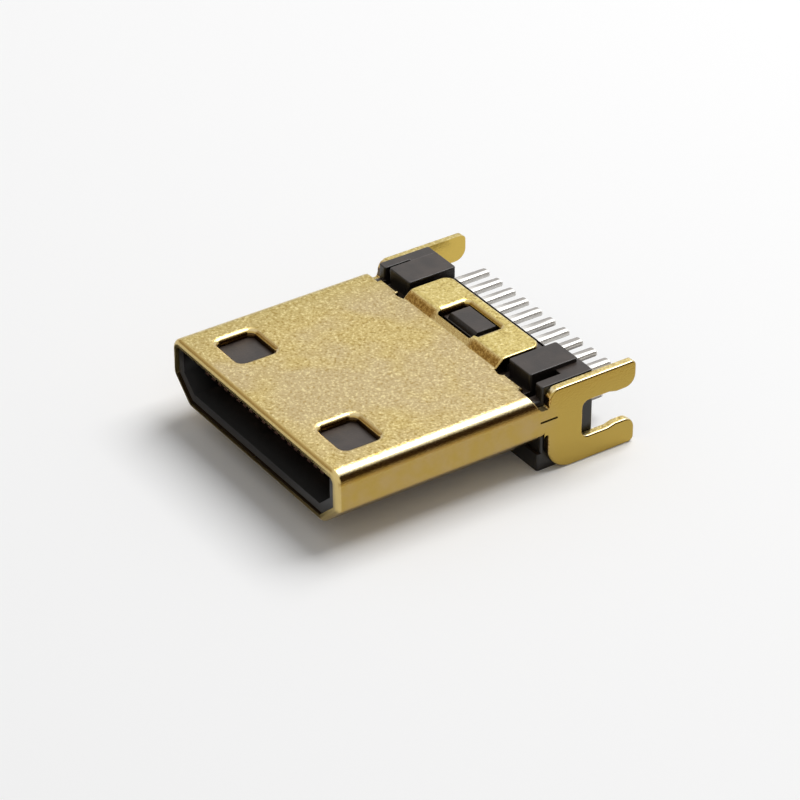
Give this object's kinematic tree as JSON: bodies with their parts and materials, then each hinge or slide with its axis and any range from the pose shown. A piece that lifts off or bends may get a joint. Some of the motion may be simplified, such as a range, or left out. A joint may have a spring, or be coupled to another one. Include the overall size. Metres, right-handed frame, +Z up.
{
  "type": "mini digital video plug",
  "caption": "Board-edge plug with a flat gold-plated D-shaped shell, latch windows, a raised strap, forked side plates and two rows of solder tails.",
  "frame": {"origin": "on the board stop: the middle of the rear face that the circuit board's edge rests on, at the middle of the board's thickness", "axes": "+Y from the mouth towards the board, +Z up towards the strap, +X to the right when looking into the mouth"},
  "size_m": [0.0104, 0.0121, 0.0034],
  "materials": {
    "gold_plate": "satin gold plate",
    "black_plastic": "fine moulded matt",
    "insert_plastic": "moulded matt",
    "tin_plate": "bright tin plate"
  },
  "bodies": {
    "root": {"shell": "gold_plate", "housing": "black_plastic", "rear_insert": "insert_plastic", "upper_contact_01": "tin_plate", "upper_contact_02": "tin_plate", "upper_contact_03": "tin_plate", "upper_contact_04": "tin_plate", "upper_contact_05": "tin_plate", "upper_contact_06": "tin_plate", "upper_contact_07": "tin_plate", "upper_contact_08": "tin_plate", "upper_contact_09": "tin_plate", "upper_contact_10": "tin_plate", "lower_contact_01": "tin_plate", "lower_contact_02": "tin_plate", "lower_contact_03": "tin_plate", "lower_contact_04": "tin_plate", "lower_contact_05": "tin_plate", "lower_contact_06": "tin_plate", "lower_contact_07": "tin_plate", "lower_contact_08": "tin_plate", "lower_contact_09": "tin_plate"}
  },
  "joints": []
}
